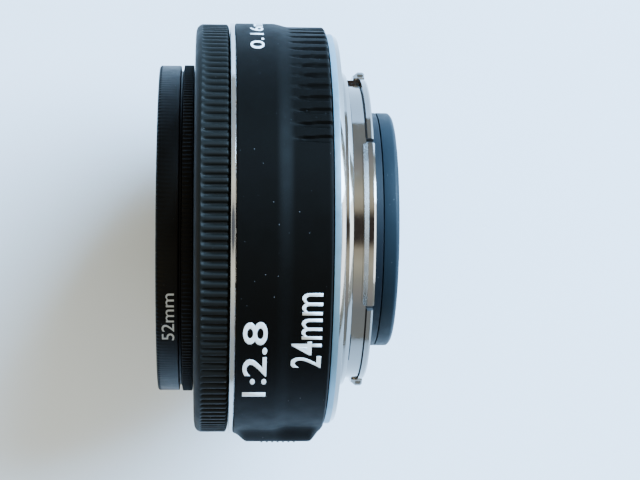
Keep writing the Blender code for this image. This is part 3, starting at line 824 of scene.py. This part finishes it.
rear_cover = turned(
    "rear_cover_moulded",
    [
        (21.5, -2.5),
        (22.7, -2.5),
        (22.7, 4.7, 0.15),
        (22.4, 5.0, 0.15),
        (19.5, 5.0, 0.1),
        (19.5, 6.85, 0.1),
        (17.6, 6.85, 0.1),
        (17.6, 5.0, 0.15),
        (13.6, 5.0, 0.2),
        (13.6, 3.9),
        (21.5, 3.9),
    ],
    COVER,
)
cut(rear_cover, arc_block("contact_window", 19.75, 23.5, 147, 213, 1.2, 6.0, COVER))
COVER_HOLE = ((0.6, 3.0), (0.6, 6.0))
COVER_SCREW_PROFILE = (
    (0.4, 2.9),
    (0.45, 3.0),
    (0.45, 5.1),
    (0.95, 5.1),
    (1.0, 5.15),
    (0.98, 5.4),
    (0.85, 5.55),
    (0.4, 5.6),
)
for index, a in enumerate(COVER_SCREW_ANGLES, start=1):
    cut(rear_cover, stack("hole", disc_loops(COVER_HOLE, centre_at(R_COVER_SCREW, a)), COVER))
    small = stack(f"cover_screw_{index}", disc_loops(COVER_SCREW_PROFILE), STEEL)
    for turn in (0, 90):
        cut(small, bar("recess", turn, -0.55, 0.55, 0.1, 5.25, 6, STEEL))
    small.location = polar(R_COVER_SCREW, a, 0)
    small.rotation_euler = (0, math.radians(20 * index), 0)
    stand_for(small, f"rear_cover_screw_{index}")
stand_for(rear_cover, "rear_cover")

rear_ring = turned(
    "rear_edge_moulded",
    [
        (17.2, 7.0),
        (19.5, 7.0, 0.12),
        (19.5, 9.0, 0.5),
        (18.9, 9.47, 0.4),
        (17.4, 9.47, 0.4),
        (16.6, 8.9, 0.4),
        (16.6, 7.3, 0.2),
    ],
    SLATE,
)
stand_for(rear_ring, "rear_edge_ring")

contact_block = arc_block("contact_carrier", 20.1, 22.5, 149, 211, 1.5, 4.9, INNER)
bevelled(contact_block, 0.15)
cut(contact_block, arc_block("pin_bed", 20.8, 21.8, 152, 208, 4.3, 5.5, INNER))
stand_for(contact_block, "contact_block")

PADS = 8
PADS_SPAN = (154.5, 205.5)
PAD_R = (20.95, 21.65)
PAD_FOOT = 4.42
PAD_CROWN = ((-2.35, 4.55), (-2.2, 4.7), (-2.05, 4.93), (-1.6, 5.0))
PAD_CROWN += tuple((-off, top) for off, top in reversed(PAD_CROWN))
strip = []
for i in range(PADS):
    middle = PADS_SPAN[0] + (PADS_SPAN[1] - PADS_SPAN[0]) * i / (PADS - 1)
    for off, top in PAD_CROWN:
        a = middle + off
        foot = [polar(r, a, PAD_FOOT) for r in PAD_R]
        strip.append(foot + [polar(r, a, top) for r in reversed(PAD_R)])
contact_pins = stack("contact_pads", strip, GOLD, 40)
stand_for(contact_pins, "contact_pins")

# Front barrel, name ring and cells ------------------------------------------------------------

front_barrel = turned(
    "front_barrel_turned",
    [
        (28.3, -22.75, 0.12),
        (28.3, -16.5),
        (27.3, -16.5),
        (27.3, -19.2),
        (18.3, -19.2),
        (18.3, -20.0),
        (25.9, -20.0),
        (25.9, -22.9, 0.1),
        (28.15, -22.9, 0.12),
    ],
    SATIN,
)
stand_for(front_barrel, "front_barrel")

name_ring_profile = [(25.6, -21.45, 0.1), (25.6, -20.15), (10.7, -20.15), (10.7, -20.75, 0.1)]
for i in range(7):
    r = 12.9 + 1.35 * i
    y = -20.8 - 0.07 * i
    name_ring_profile += [(r, y, 0.03), (r + 1.0, y, 0.03), (r + 1.05, -20.72 - 0.07 * i, 0.03)]
name_ring_profile.append((22.6, -21.3, 0.1))
name_ring = turned("name_ring_stepped", name_ring_profile, INNER, 192, 0.1)
stand_for(name_ring, "name_ring")

front_cell = turned(
    "front_cell_turned",
    [
        (10.3, -20.45, 0.1),
        (10.3, -15.2),
        (13.5, -15.2),
        (13.5, -14.35),
        (6.0, -14.35),
        (6.0, -14.75),
        (6.75, -14.75),
        (6.75, -16.95),
        (8.75, -16.95),
        (8.75, -20.45, 0.1),
    ],
    INNER,
    128,
)
stand_for(front_cell, "front_cell")
front_ring = turned(
    "front_retainer", [(8.6, -20.3), (8.6, -19.2), (8.0, -19.2), (7.9, -20.3)], INNER, 128, 0.08
)
stand_for(front_ring, "front_retaining_ring")

rear_cell = turned(
    "rear_cell_turned",
    [
        (8.0, -9.1),
        (8.0, -4.95),
        (16.6, -4.95),
        (16.6, -4.15),
        (12.9, -4.15),
        (12.9, 3.05, 0.15),
        (10.6, 3.05, 0.1),
        (10.6, -0.8),
        (8.2, -0.8),
        (8.2, -3.6),
        (5.8, -3.6),
        (5.8, -3.9),
        (6.35, -3.9),
        (6.35, -9.1),
    ],
    INNER,
    128,
)
stand_for(rear_cell, "rear_cell")
rear_retainer = turned(
    "rear_retainer", [(10.4, 2.5), (10.4, 3.0), (9.5, 3.0), (9.6, 2.5)], INNER, 128, 0.08
)
stand_for(rear_retainer, "rear_retaining_ring")


def sag(r, curve):
    """How far a spherical face of that radius of curvature bends back at radius r."""
    return math.copysign(abs(curve) - math.sqrt(curve**2 - r**2), curve)


def element(name, node, r, y_front, c_front, y_rear, c_rear):
    """Lens element with spherical faces."""
    count = 14
    front = [(r * i / count, y_front + sag(r * i / count, c_front)) for i in range(count + 1)]
    rear = [(r * i / count, y_rear + sag(r * i / count, c_rear)) for i in range(count, -1, -1)]
    angles = [360 * i / 96 for i in range(96)]
    stand_for(swept(name, angles, lambda a: front + rear, [GLASS], 45, True), node)


# Edge radius, then the y and the radius of curvature of the front and of the rear face
element("front_meniscus", "front_element", 8.55, -20.6, 20.0, -18.9, 24.0)
element("second_lens", "second_element", 6.6, -17.0, 14.0, -14.95, -60.0)
element("third_lens", "third_element", 6.15, -8.2, -30.0, -7.0, 13.0)
element("fourth_lens", "fourth_element", 6.15, -6.85, 13.0, -4.0, -40.0)
element("fifth_lens", "fifth_element", 7.95, -2.75, -40.0, -1.25, -15.0)
element("rear_lens", "rear_element", 10.35, -0.2, 120.0, 2.3, -60.0)


# Printed marks --------------------------------------------------------------------------------


PRINT_HEIGHT = 0.012
PRINT_GAP = 0.004
PRINT_STEP = 0.4


def lettering(name, text, radius, a_start, a_end, y_top, y_base, mat, body, weight):
    """Prints text round a cylinder, reading towards smaller angles with its top to the front."""
    curve = bpy.data.curves.new(name, "FONT")
    curve.body = text
    curve.size = 1.0
    curve.offset = weight
    source = bpy.data.objects.new(name + "_source", curve)
    bpy.context.scene.collection.objects.link(source)
    mesh = baked_mesh(source)
    bpy.data.objects.remove(source, do_unlink=True)
    xs = [v.co.x for v in mesh.vertices]
    ys = [v.co.y for v in mesh.vertices]
    low_x, high_x = min(xs), max(xs)
    low_y, high_y = min(ys), max(ys)
    length = math.radians(a_start - a_end) * radius
    for v in mesh.vertices:
        v.co.x = (v.co.x - low_x) / (high_x - low_x) * length
        v.co.y = (v.co.y - low_y) / (high_y - low_y) * (y_base - y_top)
    bm = bmesh.new()
    bm.from_mesh(mesh)
    for i in range(1, int(length / PRINT_STEP) + 1):
        geometry = bm.verts[:] + bm.edges[:] + bm.faces[:]
        cut_at = (PRINT_STEP * i, 0, 0)
        bmesh.ops.bisect_plane(bm, geom=geometry, plane_co=cut_at, plane_no=(1, 0, 0))
    shell = bmesh.ops.extrude_face_region(bm, geom=bm.faces[:])
    for item in shell["geom"]:
        if isinstance(item, bmesh.types.BMVert):
            item.co.z += PRINT_HEIGHT
    for v in bm.verts:
        a = a_start - math.degrees(v.co.x / radius)
        v.co = polar(radius + PRINT_GAP + v.co.z, a, y_base - v.co.y)
    bmesh.ops.recalc_face_normals(bm, faces=bm.faces)
    bm.to_mesh(mesh)
    bm.free()
    mesh.materials.clear()
    mesh.materials.append(mat)
    obj = bpy.data.objects.new(name, mesh)
    bpy.context.scene.collection.objects.link(obj)
    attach(obj, body)


# Radius, first and last angle, y of the letters' top and base, and how much the strokes thicken
lettering("mark_focal_length", "24mm", R_BARREL - STEP_DOWN, 39.6, 16.8, -8.1, -3.4, PRINT, "body", 0.004)
lettering("mark_aperture", "1:2.8", R_BARREL, 50.2, 24.5, -15.4, -11.7, PRINT, "body", 0.012)
lettering("mark_near_limit", "0.16m", R_BARREL, -56.0, -81.0, -14.3, -12.1, PRINT, "body", 0.012)
lettering("mark_filter_size", "52mm", 27.0, 40.5, 22.0, -27.9, -25.95, GREY_PRINT, "filter_grip", 0.0)

# Floor, light and camera ----------------------------------------------------------------------

SIDE = 1.6
floor_mesh = bpy.data.meshes.new("floor")
floor_mesh.from_pydata(
    [(-SIDE, -SIDE, FLOOR_Z), (SIDE, -SIDE, FLOOR_Z), (SIDE, SIDE, FLOOR_Z), (-SIDE, SIDE, FLOOR_Z)],
    [],
    [(0, 1, 2, 3)],
)
floor = bpy.data.objects.new("floor", floor_mesh)
TABLE = node_material("table_white", (0.69, 0.765, 0.85), 0.6, grain=0.8, bump=0.01, mottle=0.01)
floor_mesh.materials.append(TABLE)
bpy.context.scene.collection.objects.link(floor)

# Room's light by height, 0 at the horizon and 1 at the zenith
ROOM_BY_HEIGHT = (
    (0.0, (0.74, 0.8, 0.8)),
    (0.45, (0.68, 0.74, 0.78)),
    (0.68, (1.0, 0.98, 0.95)),
    (0.78, (1.15, 1.15, 1.0)),
    (0.9, (1.75, 1.65, 1.3)),
    (0.96, (1.4, 1.26, 0.98)),
    (0.985, (0.16, 0.13, 0.12)),
)
# What it is multiplied by, from beside the lens (0) to its front and rear (1)
ROOM_BY_SIDE = (
    (0.0, (1.0, 1.0, 1.0)),
    (0.3, (1.0, 1.0, 1.0)),
    (0.5, (0.28, 0.24, 0.17)),
    (0.75, (0.3, 0.26, 0.18)),
    (0.9, (1.6, 1.6, 1.5)),
    (1.0, (2.8, 2.9, 3.0)),
)

world = bpy.data.worlds.new("studio")
bpy.context.scene.world = world
world.use_nodes = True
tree = world.node_tree
back = tree.nodes["Background"]
back.inputs["Strength"].default_value = 1.0
coords = tree.nodes.new("ShaderNodeTexCoord")
split = tree.nodes.new("ShaderNodeSeparateXYZ")
tree.links.new(coords.outputs["Generated"], split.inputs["Vector"])
sideways = tree.nodes.new("ShaderNodeMath")
sideways.operation = "ABSOLUTE"
tree.links.new(split.outputs["Y"], sideways.inputs[0])


def colour_ramp(value, stops):
    """Colours spread along a value from 0 to 1."""
    ramp = tree.nodes.new("ShaderNodeValToRGB")
    tree.links.new(value, ramp.inputs["Fac"])
    elements = ramp.color_ramp.elements
    for element_at_end, (position, colour) in zip(elements, (stops[0], stops[-1])):
        element_at_end.position = position
        element_at_end.color = (*colour, 1.0)
    for position, colour in stops[1:-1]:
        elements.new(position).color = (*colour, 1.0)
    return ramp.outputs["Color"]


room = tree.nodes.new("ShaderNodeVectorMath")
room.operation = "MULTIPLY"
tree.links.new(colour_ramp(split.outputs["Z"], ROOM_BY_HEIGHT), room.inputs[0])
tree.links.new(colour_ramp(sideways.outputs["Value"], ROOM_BY_SIDE), room.inputs[1])
tree.links.new(room.outputs["Vector"], back.inputs["Color"])


def area_light(name, where, size, power, colour):
    """Rectangular light at a place, turned to the origin."""
    light = bpy.data.lights.new(name, "AREA")
    light.shape = "RECTANGLE"
    light.size = size[0]
    light.size_y = size[1]
    light.energy = power
    light.color = colour
    obj = bpy.data.objects.new(name, light)
    obj.location = where
    obj.rotation_euler = (-Vector(where)).to_track_quat("-Z", "Y").to_euler()
    bpy.context.scene.collection.objects.link(obj)


# Place in metres, width and height in metres, power in watts, colour
area_light("window_rear", (-0.75, 1.0, 0.75), (1.3, 1.1), 240.0, (0.41, 0.68, 1.0))
area_light("strip_rear", (0.0, 1.1, 0.3), (1.8, 0.22), 11.0, (0.85, 0.94, 1.0))
area_light("strip_front", (0.0, -1.1, 0.35), (1.8, 0.22), 4.5, (1.0, 0.86, 0.55))
area_light("fill_warm_front", (0.5, -0.8, 0.6), (0.7, 0.5), 3.0, (1.0, 0.8, 0.45))

# Camera: lens in millimetres, place in metres, turns in radians
FOCAL_LENGTH = 103.87125
SENSOR_WIDTH = 36.0
CAMERA = Vector((0.00014, -0.0206, 0.3096))
YAW = 0.0599
PITCH = -0.0056
ROLL = -0.0065
view_y = Vector((0, math.cos(YAW), math.sin(YAW)))
depth = Vector((0, math.sin(YAW), -math.cos(YAW)))
view_x = Vector((-math.cos(PITCH), 0, 0)) - math.sin(PITCH) * depth
ahead = Vector((-math.sin(PITCH), 0, 0)) + math.cos(PITCH) * depth
right = math.cos(ROLL) * view_y - math.sin(ROLL) * view_x
up = math.sin(ROLL) * view_y + math.cos(ROLL) * view_x
turn = Matrix((right.normalized(), up.normalized(), (-ahead).normalized())).transposed()
camera_data = bpy.data.cameras.new("camera")
camera_data.sensor_width = SENSOR_WIDTH
camera_data.lens = FOCAL_LENGTH
camera_data.clip_start = 0.01
camera = bpy.data.objects.new("camera", camera_data)
camera.matrix_world = Matrix.Translation(CAMERA) @ turn.to_4x4()
bpy.context.scene.collection.objects.link(camera)
bpy.context.scene.camera = camera
